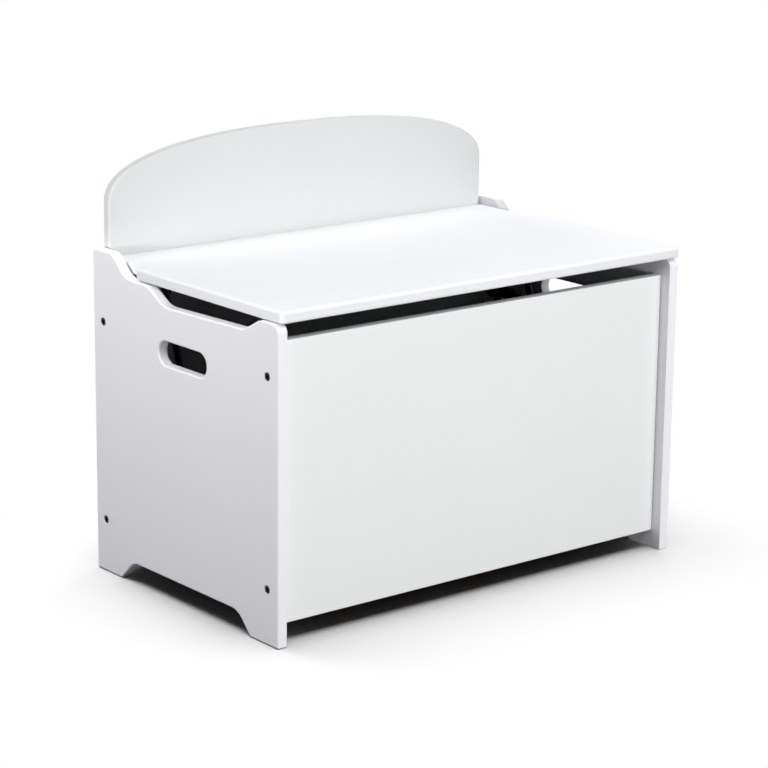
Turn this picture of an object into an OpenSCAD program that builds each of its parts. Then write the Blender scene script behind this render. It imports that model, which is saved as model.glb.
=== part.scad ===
// Bench-style wooden toy box: two scooped side panels, a lifting seat lid on pivot pins,
// an arched backrest, and a friction stay on each side that holds the lid where it is put.
// Millimetres. +Z is up, the front faces -Y, and the origin is under the middle of the box,
// on the surface that the feet stand on.

/* [Case] */
// Width over the outer faces of the side panels
case_w = 680; // [600:1:900]
// Depth of the side panels from front edge to rear edge
case_d = 410; // [390:1:520]
// Height of the side panels' front horns, on which the lid rests
case_h = 415.5; // [400:0.5:520]
// Open gap between the top of the front panel and the lid
front_gap = 26; // [20:0.5:40]
// Height of the lower edges of the front and back panels
panel_bottom = 26; // [20:0.5:45]
// Distance from the side panels' front edges to the face of the front panel
front_setback = 15.5; // [8:0.5:30]

/* [Boards] */
// Thickness of each side panel
side_t = 15; // [15:0.5:20]
// Thickness of the front panel
front_t = 15; // [14:0.5:20]
// Thickness of the back panel
back_t = 15; // [14:0.5:20]
// Thickness of the backrest
backrest_t = 15; // [12:0.5:20]
// Thickness of the lid
lid_t = 15; // [15:0.5:20]
// Thickness of the floor panel
floor_t = 9; // [6:0.5:12]
// Height and depth of the square cleats that carry the floor panel
cleat = 20; // [18:0.5:25]
// Height of the cleats above the lower edges of the front and back panels
cleat_rise = 2; // [0:0.5:10]
// Distance from each end of a cleat to the side panel beside it
cleat_end_gap = 25; // [10:1:60]
// Gap between the floor panel and the boards round it
floor_gap = 0.5; // [0.3:0.1:1.5]

/* [Side panel outline] */
// Height of the rear ear above the front horn
ear_rise = 28; // [24:0.5:40]
// Length of the flat top of the ear, from the rear edge
ear_flat = 36; // [34:0.5:40]
// Steepest angle of the ear's front slope
ear_slope = 45; // [40:1:60]
// Radius of the bend at the top of the ear's slope
ear_r = 26; // [15:0.5:35]
// Radius of the bend at the foot of the ear's slope
ear_foot_r = 37; // [20:0.5:45]
// Radius of the ear's rear top corner
ear_corner_r = 5; // [2:0.5:10]
// Height of the shelf in front of the ear, below the horn
shelf_drop = 1; // [0:0.25:5]
// Distance from the rear edge to the front end of the shelf
shelf_end = 115; // [105:0.5:125]
// Depth of the scoop below the horn, at the scoop's rear end
scoop_depth = 22; // [16:0.5:40]
// Steepest angle of the scoop's rear slope
scoop_slope = 30; // [30:1:45]
// Radius of both bends of the scoop's rear slope
scoop_r = 45; // [20:1:50]
// Rise of the scoop's floor from its rear end to its front end
scoop_lift = 4; // [0:0.25:8]
// Length of the horn's top, from the front edge
horn_len = 30; // [24:0.5:50]
// Steepest angle of the horn's rear slope
horn_slope = 28; // [25:1:45]
// Radius of the bend at the top of the horn's slope
horn_r = 35; // [10:0.5:40]
// Radius of the bend at the foot of the horn's slope
horn_foot_r = 5; // [2:0.5:15]
// Radius of the front top corner
horn_corner_r = 12; // [5:0.5:18]
// Length of each foot
foot_len = 59; // [45:0.5:75]
// Height of the arch between the feet
arch_rise = 28; // [20:0.5:45]
// Steepest angle of the arch's ends
arch_slope = 45; // [40:1:60]
// Radius of the arch's upper corners
arch_r = 30; // [10:0.5:40]
// Length of the hand slot
slot_l = 106; // [90:1:120]
// Height of the hand slot
slot_h = 32; // [25:0.5:36]
// Height of the middle of the hand slot below the horn
slot_drop = 83; // [75:1:90]

/* [Backrest] */
// Height of the arch's crown above the lid
backrest_rise = 151.5; // [120:0.5:220]
// Height of the arch itself, from where its ends turn in to its crown
arch_h = 82.5; // [50:0.5:110]
// Power of the arch's curve: 2 is an ellipse, and more is squarer
arch_power = 2.45; // [2:0.05:3.5]
// Gap between each end of the backrest and the side panel
backrest_gap = 2; // [1:0.25:5]
// Length of the backrest that laps the back panel
backrest_lap = 110; // [90:1:160]

/* [Lid] */
// Distance by which the lid stands in front of the side panels
lid_overhang = 5; // [0:0.5:15]
// Distance by which each end of the lid stops short of the side panel's outer face
lid_inset = 1; // [0:0.25:6]
// Running gap between the lid's narrow rear part and each side panel
lid_side_gap = 1.5; // [1:0.25:2.5]
// Distance from the rear edge of the case to the lid's notches
notch_end = 97; // [93:0.5:105]
// Radius of the lid's upper edges
lid_round = 6; // [4:0.5:7]
// Radius of the lid's lower edges
lid_under_round = 3; // [1.5:0.5:4]
// Radius of the lid's front corners, seen from above
lid_corner_r = 5; // [4:0.5:12]
// Thickness of the bumpers under the lid
bumper_t = 1.2; // [0.8:0.1:3]
// Diameter of the bumpers
bumper_d = 6; // [4:0.5:6]
// Distance from the side panel's inner face to the edge of the bumper on its horn
bumper_edge = 1; // [0.5:0.25:1.5]
// Distance from the side panel's front edge to the middle of the bumper
bumper_back = 18; // [16:0.5:20]

/* [Lid pivots] */
// Diameter of each pivot pin
pin_d = 6; // [5:0.25:7]
// Length of the pin inside the lid
pin_in_lid = 22; // [15:0.5:30]
// Distance from the lid's rear edge to the pins' axis
pin_inset = 10; // [9:0.25:12]
// Outer diameter of the bush in each ear
bush_d = 9; // [8:0.25:11]
// Length of each bush
bush_l = 12; // [8:0.5:12]

/* [Fasteners] */
// Diameter of the panel bolts' shanks
bolt_d = 6; // [5:0.25:6.5]
// Length of a panel bolt under its head
bolt_l = 48; // [45:1:60]
// Depth of a bolt's bore past the end of the bolt
bolt_spare = 2; // [1:0.5:4]
// Diameter of a panel bolt's head
bolt_head_d = 10.6; // [9.5:0.1:12]
// Height of a panel bolt's head
bolt_head_h = 4.5; // [3:0.25:6]
// Depth of the heads below the side panel's face
bolt_recess = 0.5; // [0.25:0.25:2]
// Width across the flats of the bolts' hexagon sockets
socket_af = 5; // [4:0.5:6]
// Depth of the sockets
socket_depth = 2.7; // [1.5:0.1:2.8]
// Height of the lower panel bolts above the floor
bolt_low_z = 73; // [70:1:90]
// Height of the upper panel bolts below the horn
bolt_high_drop = 68.5; // [60:0.5:80]
// Diameter of the barrel nuts
nut_d = 10; // [9:0.5:12]
// Distance from the panel's end to the middle of its barrel nuts
nut_inset = 30; // [25:0.5:35]
// Wood left between a barrel nut's bore and the far face of the board
nut_cover = 1.5; // [1:0.25:3]
// Difference between the board's thickness and the length of its barrel nuts
nut_short = 3; // [3:0.25:5]
// Diameter of the dowels
dowel_d = 8; // [6:0.5:9]
// Length of a dowel
dowel_l = 30; // [24:1:36]
// Length of a dowel inside the side panel
dowel_in_side = 10; // [6:0.5:11]
// Distance along the joint from each bolt to the dowel beside it
dowel_step = 36; // [25:1:60]
// Diameter of the wood screws' shanks
screw_d = 3.5; // [3:0.25:4]
// Diameter of the wood screws' countersunk heads
screw_head_d = 7.5; // [6.5:0.25:8.5]
// Width of the arms of the screws' cross recess
recess_w = 1; // [0.8:0.1:1.4]
// Depth of the screws' cross recess
recess_depth = 1.2; // [0.8:0.1:1.6]
// Length of the screws that hold the backrest
backrest_screw_l = 25; // [20:0.5:25]
// Distance from each end of the backrest to the screws nearest to it
backrest_screw_end = 83; // [40:1:120]
// Distance from the backrest's lower edge, and from the back panel's top, to the screws
backrest_screw_margin = 25; // [15:1:35]
// Length of the screws that hold the cleats
cleat_screw_l = 30; // [27:0.5:31]
// Distance from each end of a cleat to the screw nearest to it
cleat_screw_end = 60; // [30:1:80]
// Length of the screws that hold the floor panel
floor_screw_l = 22; // [18:0.5:24]
// Distance from each end of a cleat to the floor screw nearest to it
floor_screw_end = 90; // [88:1:140]
// Length of the screws that hold the stays
stay_screw_l = 12; // [8:0.5:13]

/* [Lid stays] */
// Distance of the lid bracket's stud in front of the lid's pivots
stud_fwd = 95; // [85:0.5:97]
// Distance of the lid bracket's stud below the lid's pivots
stud_drop = 20; // [19:0.5:22]
// Distance of the housing's shaft in front of the lid's pivots
shaft_fwd = 33; // [30:0.5:34]
// Distance of the housing's shaft below the lid's pivots
shaft_drop = 105; // [104:0.5:115]
// Outer diameter of the housing
cap_d = 38; // [34:0.5:42]
// Depth of the housing from its base plate to its face
cap_h = 11; // [9:0.5:14]
// Wall thickness of the housing
cap_wall = 2; // [1.5:0.25:3]
// Thickness of the housing's base plate
base_t = 2; // [1.5:0.25:3]
// Distance from the shaft to each screw of the base plate
base_screw_step = 26; // [25:0.5:28]
// Radius of the base plate's ends, round its screws
base_ear_r = 7; // [6:0.25:8]
// Diameter of the shaft
shaft_d = 10; // [9.5:0.5:12]
// Width of the square boss on the shaft's end
boss_w = 6.5; // [5.5:0.25:6.5]
// Thickness of the lever
lever_t = 3; // [2:0.25:4]
// Width of the lever
lever_w = 16; // [14:0.5:18]
// Thickness of the link
link_t = 2.5; // [2:0.25:4]
// Width of the link
link_w = 12; // [11:0.5:13]
// Diameter of the rivet and of the bracket's stud
rivet_d = 5; // [4:0.25:5.5]
// Distance by which a rivet's head stands out past its shank all round
rivet_lip = 2; // [1.5:0.25:2.5]
// Height of a rivet's head
rivet_head_h = 1.3; // [1:0.1:1.6]
// Diameter of the screw that holds the lever on the shaft
lever_screw_d = 3; // [2.5:0.25:3.5]
// Diameter of that screw's head
lever_screw_head_d = 9.5; // [9.5:0.25:11]
// Height of that screw's head
lever_screw_head_h = 2; // [1.5:0.25:2.25]
// Length of that screw under its head
lever_screw_l = 9; // [8:0.5:10]
// Thickness of the lid bracket
bracket_t = 2; // [1.5:0.25:3]
// Length of the lid bracket along the lid
bracket_l = 44; // [40:1:60]
// Width of the lid bracket's flange
flange_w = 18; // [14:0.5:24]
// Width of the lid bracket's tab, which carries the stud
tab_w = 18; // [14:0.5:20]
// Distance from each end of the lid bracket to its screw
bracket_screw_end = 8; // [7:0.5:12]

/* [Clearances] */
// Radial gap between a turning shaft and its hole
run_fit = 0.05; // [0.03:0.01:0.1]
// Radial gap around what is fixed in a hole, and around the square boss
slip_fit = 0.05; // [0.03:0.01:0.1]
// Radial gap around a bolt's shank in the boards
bolt_clear = 0.3; // [0.2:0.05:0.5]
// Radial gap around a bolt's head in its counterbore
head_clear = 0.4; // [0.2:0.05:0.6]
// Radial gap around the stud in the link's upper eye
stud_clear = 0.4; // [0.4:0.05:0.5]
// Gap between bodies that pass or rest on each other
body_gap = 0.3; // [0.3:0.05:0.4]
// Gap between the friction disc and the housing round it
rotor_gap = 0.4; // [0.3:0.05:0.6]
// Gap between the lid's turning rear edge and what is beside it
swing_clear = 0.9; // [0.8:0.05:1.2]
// Depth of a blind hole past the end of what it holds
hole_spare = 0.5; // [0.3:0.1:0.8]

/* [Hidden] */

// Fineness
cut = 1;             // overshoot of a cutter past a face
arc_steps = 8;       // straight pieces in each bend of an outline
arch_steps = 56;     // straight pieces in the backrest's arch
$fn = 48;

// Numbers of screws in a row across the box
backrest_screws_n = 3;
cleat_screws_n = 4;
floor_screws_n = 3;

// n places spread evenly from -half to half
function spread(n, half) = [for (i = [0 : n - 1]) (2 * i / (n - 1) - 1) * half];

// Planes of the case
rear_y = (case_d + lid_overhang) / 2;
case_front_y = rear_y - case_d;
inner_x = case_w / 2 - side_t;
front_face_y = case_front_y + front_setback;
front_inner_y = front_face_y + front_t;
back_rear_y = rear_y - backrest_t;
back_inner_y = back_rear_y - back_t;
front_mid_y = front_face_y + front_t / 2;
back_mid_y = back_rear_y - back_t / 2;

// Lid
lid_z = case_h + bumper_t + body_gap;
lid_top = lid_z + lid_t;
lid_half_w = case_w / 2 - lid_inset;
lid_narrow_half_w = inner_x - lid_side_gap;
lid_front_y = case_front_y - lid_overhang;
notch_y = rear_y - notch_end;

// How far the lid's rear edge reaches from the pivot axis, with an edge of radius r
function swing(r) = norm([pin_inset - r, lid_t / 2 - r]) + r;
lid_rear_y = back_rear_y - (swing(lid_round) - pin_inset + swing_clear);
pivot_y = lid_rear_y - pin_inset;
pivot_z = lid_z + lid_t / 2;

// Heights
ear_top = case_h + ear_rise;
shelf_top = case_h - shelf_drop;
front_top = lid_z - front_gap;
back_top = pivot_z - swing(lid_under_round) - swing_clear;
slot_z = case_h - slot_drop;
backrest_top = lid_top + backrest_rise;
spring_z = backrest_top - arch_h;
backrest_bottom = back_top - backrest_lap;
backrest_half_w = inner_x - backrest_gap;

// Floor panel and cleats
cleat_z = panel_bottom + cleat_rise;
floor_z = cleat_z + cleat;
cleat_half_l = inner_x - cleat_end_gap;

// Panel bolts, nuts and dowels
bolt_high_z = case_h - bolt_high_drop;
bolt_zs = [bolt_low_z, bolt_high_z];
dowel_zs = [bolt_low_z + dowel_step, bolt_high_z - dowel_step];
counterbore_r = bolt_head_d / 2 + head_clear;
bolt_bore_r = bolt_d / 2 + bolt_clear;
counterbore_h = bolt_recess + bolt_head_h;
bolt_in_panel = bolt_l - (side_t - counterbore_h);

// Screws
screw_head_h = (screw_head_d - screw_d) / 2;
backrest_screw_xs = spread(backrest_screws_n, backrest_half_w - backrest_screw_end);
backrest_screw_zs = [backrest_bottom + backrest_screw_margin, back_top - backrest_screw_margin];
cleat_screw_xs = spread(cleat_screws_n, cleat_half_l - cleat_screw_end);
floor_screw_xs = spread(floor_screws_n, cleat_half_l - floor_screw_end);

// Lid stays: distances inwards from the side panel's inner face
cap_face = base_t + cap_h;
lever_in = cap_face + body_gap;
link_in = lever_in + lever_t + body_gap;
tab_in = link_in + link_t + body_gap;
shaft_y = pivot_y - shaft_fwd;
shaft_z = pivot_z - shaft_drop;
stud_y = pivot_y - stud_fwd;
stud_z = pivot_z - stud_drop;
elbow_y = shaft_y - stud_fwd;
elbow_z = shaft_z - stud_drop;
lever_l = norm([stud_fwd, stud_drop]);
lever_angle = atan2(-stud_drop, -stud_fwd);
link_l = norm([shaft_fwd, shaft_drop]);
link_angle = atan2(shaft_drop, shaft_fwd);
rivet_head_d = rivet_d + 2 * rivet_lip;
bracket_screw_step = bracket_l / 2 - bracket_screw_end;

// Colours
white_paint = [0.93, 0.93, 0.94];
pale_board = [0.80, 0.74, 0.64];
raw_wood = [0.80, 0.66, 0.47];
bright_steel = [0.72, 0.73, 0.75];
dark_steel = [0.13, 0.13, 0.14];
grey_plastic = [0.42, 0.43, 0.45];
clear_rubber = [0.85, 0.86, 0.86];

// ---- Outlines -------------------------------------------------------------------------

// Points on an arc of radius r about c, or c alone where there is no radius
function arc(c, r, from, to) =
    r > 0
    ? [for (i = [0 : arc_steps])
        let (a = from + (to - from) * i / arc_steps)
        c + r * [cos(a), sin(a)]]
    : [c];

// Straight part of an S-bend that drops by `drop` at the angle `slope`
function bend_straight(drop, slope, r1, r2) =
    (drop - (r1 + r2) * (1 - cos(slope))) / sin(slope);

// Distance along the edge that an S-bend takes
function bend_run(drop, slope, r1, r2) =
    (r1 + r2) * sin(slope) + bend_straight(drop, slope, r1, r2) * cos(slope);

// S-bend from [0, 0] down to [bend_run, -drop]: an arc, a straight and an arc back to level
function bend(drop, slope, r1, r2) =
    concat(
        arc([0, -r1], r1, 90, 90 - slope),
        arc([bend_run(drop, slope, r1, r2), r2 - drop], r2, 270 - slope, 270)
    );

function moved(points, to) = [for (p = points) p + to];
function flipped(points) = [for (p = points) [-p.x, p.y]];
function backwards(points) = [for (i = [len(points) - 1 : -1 : 0]) points[i]];

// Side panel outline. x runs forwards from the rear edge, y is the height.
arch_run = bend_run(arch_rise, arch_slope, arch_r, 0);
side_outline = concat(
    [[0, 0]],
    arc([ear_corner_r, ear_top - ear_corner_r], ear_corner_r, 180, 90),
    moved(bend(ear_rise + shelf_drop, ear_slope, ear_r, ear_foot_r), [ear_flat, ear_top]),
    moved(bend(scoop_depth - shelf_drop, scoop_slope, scoop_r, scoop_r), [shelf_end, shelf_top]),
    moved(
        backwards(flipped(bend(scoop_depth - scoop_lift, horn_slope, horn_r, horn_foot_r))),
        [case_d - horn_len, case_h]
    ),
    arc([case_d - horn_corner_r, case_h - horn_corner_r], horn_corner_r, 90, 0),
    [[case_d, 0]],
    moved(
        backwards(bend(arch_rise, arch_slope, arch_r, 0)),
        [case_d - foot_len - arch_run, arch_rise]
    ),
    moved(flipped(bend(arch_rise, arch_slope, arch_r, 0)), [foot_len + arch_run, arch_rise])
);

// Backrest outline. x is across the box, y is the height.
function arch_point(t) =
    let (c = cos(t), s = sin(t))
    [
        backrest_half_w * sign(c) * pow(abs(c), 2 / arch_power),
        spring_z + arch_h * pow(abs(s), 2 / arch_power)
    ];
backrest_outline = concat(
    [[-backrest_half_w, backrest_bottom], [backrest_half_w, backrest_bottom]],
    [for (i = [0 : arch_steps]) arch_point(180 * i / arch_steps)]
);

// Section of a board from z0 to z1 between two edges, with rounded edges
module edge_section(from, to, z0, z1, top_r, under_r) {
    polygon(concat(
        arc([from + under_r, z0 + under_r], under_r, 180, 270),
        arc([to - under_r, z0 + under_r], under_r, 270, 360),
        arc([to - top_r, z1 - top_r], top_r, 0, 90),
        arc([from + top_r, z1 - top_r], top_r, 90, 180)
    ));
}

// ---- Shared shapes --------------------------------------------------------------------

// Everything for a side is drawn on the left, and mirrored for the right
module on_side(side) {
    mirror([side > 0 ? 1 : 0, 0, 0]) children();
}

module both_sides() {
    on_side(-1) children();
    on_side(1) children();
}

// Round bar along X from x0, drawn towards the middle of the box
module rod(x0, y, z, length, d) {
    translate([x0, y, z]) rotate([0, 90, 0]) cylinder(h = length, d = d);
}

// Plate parallel to a side panel, starting at a distance inwards of its inner face.
// The outline's x is Y and its y is Z.
module side_plate(inwards, thick) {
    translate([-inner_x + inwards, 0, 0]) rotate([90, 0, 90]) linear_extrude(thick) children();
}

// Bar with round ends, from [0, 0] along x
module bar_outline(length, width) {
    circle(d = width);
    translate([length, 0]) circle(d = width);
    translate([0, -width / 2]) square([length, width]);
}

// Countersunk wood screw pointing down, with its head's face at the origin
module wood_screw(length) {
    difference() {
        rotate_extrude() polygon([
            [0, 0],
            [screw_head_d / 2, 0],
            [screw_d / 2, -screw_head_h],
            [screw_d / 2, -length + screw_d],
            [0, -length]
        ]);
        for (turn = [0, 90]) {
            rotate([0, 0, turn])
                translate([-screw_d / 2, -recess_w / 2, -recess_depth])
                    cube([screw_d, recess_w, recess_depth + cut]);
        }
    }
}

// Hole for a wood screw, with its countersink and a little room all round
module screw_hole(length) {
    rotate_extrude() polygon([
        [0, cut],
        [screw_head_d / 2 + slip_fit, cut],
        [screw_head_d / 2 + slip_fit, 0],
        [screw_d / 2 + slip_fit, -screw_head_h],
        [screw_d / 2 + slip_fit, -length - hole_spare],
        [0, -length - hole_spare]
    ]);
}

// ---- Where the fasteners go -----------------------------------------------------------

// Each of the left side's bolts: the axis is X, and the origin is on the outer face
module at_bolts(ys) {
    for (y = ys, z = bolt_zs) {
        translate([-case_w / 2, y, z]) rotate([0, 90, 0]) children();
    }
}

// Each of the left side's dowels: the origin is at the dowel's end in the side panel
module at_dowels(ys) {
    for (y = ys, z = dowel_zs) {
        translate([-inner_x - dowel_in_side, y, z]) rotate([0, 90, 0]) children();
    }
}

module at_backrest_screws() {
    for (x = backrest_screw_xs, z = backrest_screw_zs) {
        translate([x, rear_y, z]) rotate([-90, 0, 0]) children();
    }
}

// Heads are on the cleats' inner faces, and point towards the panel that the cleat is on
module at_front_cleat_screws() {
    for (x = cleat_screw_xs) {
        translate([x, front_inner_y + cleat, cleat_z + cleat / 2]) rotate([-90, 0, 0]) children();
    }
}

module at_rear_cleat_screws() {
    for (x = cleat_screw_xs) {
        translate([x, back_inner_y - cleat, cleat_z + cleat / 2]) rotate([90, 0, 0]) children();
    }
}

module at_floor_screws() {
    for (x = floor_screw_xs, y = [front_inner_y + cleat / 2, back_inner_y - cleat / 2]) {
        translate([x, y, floor_z + floor_t]) children();
    }
}

// Heads are on the base plate, and point outwards into the side panel
module at_stay_screws() {
    for (step = [-1, 1]) {
        translate([-inner_x + base_t, shaft_y, shaft_z + step * base_screw_step])
            rotate([0, 90, 0]) children();
    }
}

// Heads are under the bracket's flange, and point up into the lid
module at_bracket_screws() {
    for (step = [-1, 1]) {
        translate([
            -inner_x + tab_in + bracket_t + flange_w / 2,
            stud_y + step * bracket_screw_step,
            lid_z - bracket_t
        ]) rotate([180, 0, 0]) children();
    }
}

// ---- Case -----------------------------------------------------------------------------

module side_panel(side) {
    color(white_paint) on_side(side) difference() {
        translate([-inner_x, rear_y, 0]) rotate([90, 0, -90]) linear_extrude(side_t)
            polygon(side_outline);
        hand_slot();
        at_bolts([front_mid_y, back_mid_y]) {
            translate([0, 0, -cut]) cylinder(h = side_t + 2 * cut, r = bolt_bore_r);
            translate([0, 0, -cut]) cylinder(h = counterbore_h + cut, r = counterbore_r);
        }
        at_dowels([front_mid_y, back_mid_y])
            translate([0, 0, -hole_spare])
                cylinder(h = dowel_in_side + hole_spare + cut, r = dowel_d / 2 + slip_fit);
        rod(-inner_x - bush_l, pivot_y, pivot_z, bush_l + cut, bush_d + 2 * slip_fit);
        at_stay_screws() screw_hole(stay_screw_l);
    }
}

module hand_slot() {
    end = (slot_l - slot_h) / 2;
    translate([0, rear_y - case_d / 2, slot_z]) side_plate(-side_t - cut, side_t + 2 * cut) {
        for (y = [-end, end]) {
            translate([y, 0]) circle(d = slot_h);
        }
        square([2 * end, slot_h], center = true);
    }
}

// Bores in the end of a front or back panel for its bolts, nuts and dowels.
// open_y is the face that the nuts go in through, and mid_y the middle of the board.
module end_bores(mid_y, open_y, thick) {
    to_face = sign(open_y - mid_y);
    both_sides() {
        at_bolts([mid_y])
            translate([0, 0, side_t - cut])
                cylinder(h = bolt_in_panel + bolt_spare + cut, r = bolt_bore_r);
        at_dowels([mid_y])
            translate([0, 0, dowel_in_side - cut])
                cylinder(h = dowel_l - dowel_in_side + hole_spare + cut, r = dowel_d / 2 + slip_fit);
        for (z = bolt_zs) {
            translate([-inner_x + nut_inset, open_y + to_face * cut, z])
                rotate([to_face * 90, 0, 0])
                    cylinder(h = thick - nut_cover + cut, r = nut_d / 2 + slip_fit);
        }
    }
}

module front_panel() {
    color(white_paint) difference() {
        translate([-inner_x, front_face_y, panel_bottom])
            cube([2 * inner_x, front_t, front_top - panel_bottom]);
        end_bores(front_mid_y, front_inner_y, front_t);
        at_front_cleat_screws() screw_hole(cleat_screw_l);
    }
}

module back_panel() {
    color(white_paint) difference() {
        translate([-inner_x, back_inner_y, panel_bottom])
            cube([2 * inner_x, back_t, back_top - panel_bottom]);
        end_bores(back_mid_y, back_inner_y, back_t);
        at_backrest_screws() screw_hole(backrest_screw_l);
        at_rear_cleat_screws() screw_hole(cleat_screw_l);
    }
}

module backrest() {
    color(white_paint) difference() {
        translate([0, rear_y, 0]) rotate([90, 0, 0]) linear_extrude(backrest_t)
            polygon(backrest_outline);
        at_backrest_screws() screw_hole(backrest_screw_l);
    }
}

module floor_panel() {
    color(pale_board) difference() {
        translate([-inner_x + floor_gap, front_inner_y + floor_gap, floor_z])
            cube([
                2 * (inner_x - floor_gap),
                back_inner_y - front_inner_y - 2 * floor_gap,
                floor_t
            ]);
        at_floor_screws() screw_hole(floor_screw_l);
    }
}

// Square strip under one edge of the floor panel, with its front face at y
module cleat_strip(y) {
    translate([-cleat_half_l, y, cleat_z]) cube([2 * cleat_half_l, cleat, cleat]);
}

module front_cleat() {
    color(raw_wood) difference() {
        cleat_strip(front_inner_y);
        at_front_cleat_screws() screw_hole(cleat_screw_l);
        at_floor_screws() screw_hole(floor_screw_l);
    }
}

module rear_cleat() {
    color(raw_wood) difference() {
        cleat_strip(back_inner_y - cleat);
        at_rear_cleat_screws() screw_hole(cleat_screw_l);
        at_floor_screws() screw_hole(floor_screw_l);
    }
}

// ---- Lid ------------------------------------------------------------------------------

// Length of the lid along Y, with rounded front and rear edges
module lid_lengthwise() {
    rotate([90, 0, 90]) linear_extrude(2 * lid_half_w, center = true)
        edge_section(lid_front_y, lid_rear_y, lid_z, lid_top, lid_round, lid_under_round);
}

// Part of the lid from its front edge back to y, with rounded ends
module lid_crosswise(half_w, y) {
    translate([0, y, 0]) rotate([90, 0, 0]) linear_extrude(y - lid_front_y)
        edge_section(-half_w, half_w, lid_z, lid_top, lid_round, lid_under_round);
}

// Rounded front corners, seen from above
module lid_plan() {
    x = lid_half_w - lid_corner_r;
    y = lid_front_y + lid_corner_r;
    translate([0, 0, lid_z - cut]) linear_extrude(lid_t + 2 * cut) polygon(concat(
        arc([-x, y], lid_corner_r, 180, 270),
        arc([x, y], lid_corner_r, 270, 360),
        [[lid_half_w, lid_rear_y], [-lid_half_w, lid_rear_y]]
    ));
}

module lid() {
    color(white_paint) difference() {
        intersection() {
            lid_lengthwise();
            union() {
                lid_crosswise(lid_half_w, notch_y);
                lid_crosswise(lid_narrow_half_w, lid_rear_y);
            }
            lid_plan();
        }
        both_sides() {
            rod(
                -lid_narrow_half_w - cut, pivot_y, pivot_z,
                pin_in_lid + hole_spare + cut, pin_d + 2 * slip_fit
            );
            at_bracket_screws() screw_hole(stay_screw_l);
        }
    }
}

module lid_bumpers() {
    color(clear_rubber) both_sides()
        translate([
            -inner_x - bumper_edge - bumper_d / 2, case_front_y + bumper_back, case_h + body_gap
        ]) cylinder(h = bumper_t, d = bumper_d);
}

module pivot_pin(side) {
    color(bright_steel) on_side(side)
        rod(
            -inner_x - bush_l + hole_spare, pivot_y, pivot_z,
            bush_l - hole_spare + lid_side_gap + pin_in_lid, pin_d
        );
}

module pivot_bush(side) {
    color(clear_rubber) on_side(side) difference() {
        rod(-inner_x - bush_l, pivot_y, pivot_z, bush_l, bush_d);
        rod(-inner_x - bush_l - cut, pivot_y, pivot_z, bush_l + 2 * cut, pin_d + 2 * run_fit);
    }
}

// ---- Fasteners ------------------------------------------------------------------------

// Bolt along +Z from the outer face, with a hexagon socket in its head
module panel_bolt() {
    difference() {
        union() {
            translate([0, 0, bolt_recess]) cylinder(h = bolt_head_h, d = bolt_head_d);
            translate([0, 0, counterbore_h]) cylinder(h = bolt_l, d = bolt_d);
        }
        translate([0, 0, bolt_recess - cut])
            cylinder(h = socket_depth + cut, d = socket_af / cos(30), $fn = 6);
    }
}

module panel_bolts() {
    color(dark_steel) both_sides() at_bolts([front_mid_y, back_mid_y]) panel_bolt();
}

// Cross dowel with its bolt hole, in the middle of a board of the given thickness
module barrel_nut(mid_y, thick) {
    for (z = bolt_zs) {
        translate([-inner_x + nut_inset, mid_y, z]) difference() {
            rotate([90, 0, 0]) cylinder(h = thick - nut_short, d = nut_d, center = true);
            rotate([0, 90, 0]) cylinder(h = nut_d + 2 * cut, d = bolt_d + 2 * slip_fit, center = true);
        }
    }
}

module barrel_nuts() {
    color(bright_steel) both_sides() {
        barrel_nut(front_mid_y, front_t);
        barrel_nut(back_mid_y, back_t);
    }
}

module dowels() {
    color(raw_wood) both_sides() at_dowels([front_mid_y, back_mid_y])
        cylinder(h = dowel_l, d = dowel_d);
}

module backrest_screws() {
    color(bright_steel) at_backrest_screws() wood_screw(backrest_screw_l);
}

module cleat_screws() {
    color(bright_steel) {
        at_front_cleat_screws() wood_screw(cleat_screw_l);
        at_rear_cleat_screws() wood_screw(cleat_screw_l);
    }
}

module floor_screws() {
    color(bright_steel) at_floor_screws() wood_screw(floor_screw_l);
}

module stay_screws() {
    color(dark_steel) both_sides() at_stay_screws() wood_screw(stay_screw_l);
}

module bracket_screws() {
    color(dark_steel) both_sides() at_bracket_screws() wood_screw(stay_screw_l);
}

// ---- Lid stays ------------------------------------------------------------------------

module stay_base(side) {
    color(dark_steel) on_side(side) difference() {
        side_plate(0, base_t) translate([shaft_y, shaft_z]) {
            circle(d = cap_d);
            for (step = [-1, 1]) {
                translate([0, step * base_screw_step]) circle(r = base_ear_r);
            }
            square([2 * base_ear_r, 2 * base_screw_step], center = true);
        }
        at_stay_screws() screw_hole(stay_screw_l);
    }
}

module stay_cap(side) {
    color(grey_plastic) on_side(side) difference() {
        rod(-inner_x + base_t, shaft_y, shaft_z, cap_h, cap_d);
        rod(-inner_x + base_t - cut, shaft_y, shaft_z, cap_h - cap_wall + cut, cap_d - 2 * cap_wall);
        rod(-inner_x + base_t, shaft_y, shaft_z, cap_h + cut, shaft_d + 2 * run_fit);
    }
}

// Friction disc inside the housing, its shaft, and the square boss that drives the lever
module stay_rotor(side) {
    disc_h = cap_h - cap_wall - 2 * rotor_gap;
    disc_d = cap_d - 2 * cap_wall - 2 * rotor_gap;
    start = -inner_x + base_t + rotor_gap;
    boss_end = lever_in + lever_t - base_t - rotor_gap;
    color(dark_steel) on_side(side) difference() {
        union() {
            rod(start, shaft_y, shaft_z, disc_h, disc_d);
            rod(start, shaft_y, shaft_z, lever_in - base_t - rotor_gap, shaft_d);
            translate([start + boss_end / 2, shaft_y, shaft_z]) rotate([lever_angle, 0, 0])
                cube([boss_end, boss_w, boss_w], center = true);
        }
        rod(
            -inner_x + lever_in + lever_t - lever_screw_l, shaft_y, shaft_z,
            lever_screw_l + cut, lever_screw_d + 2 * slip_fit
        );
    }
}

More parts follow.
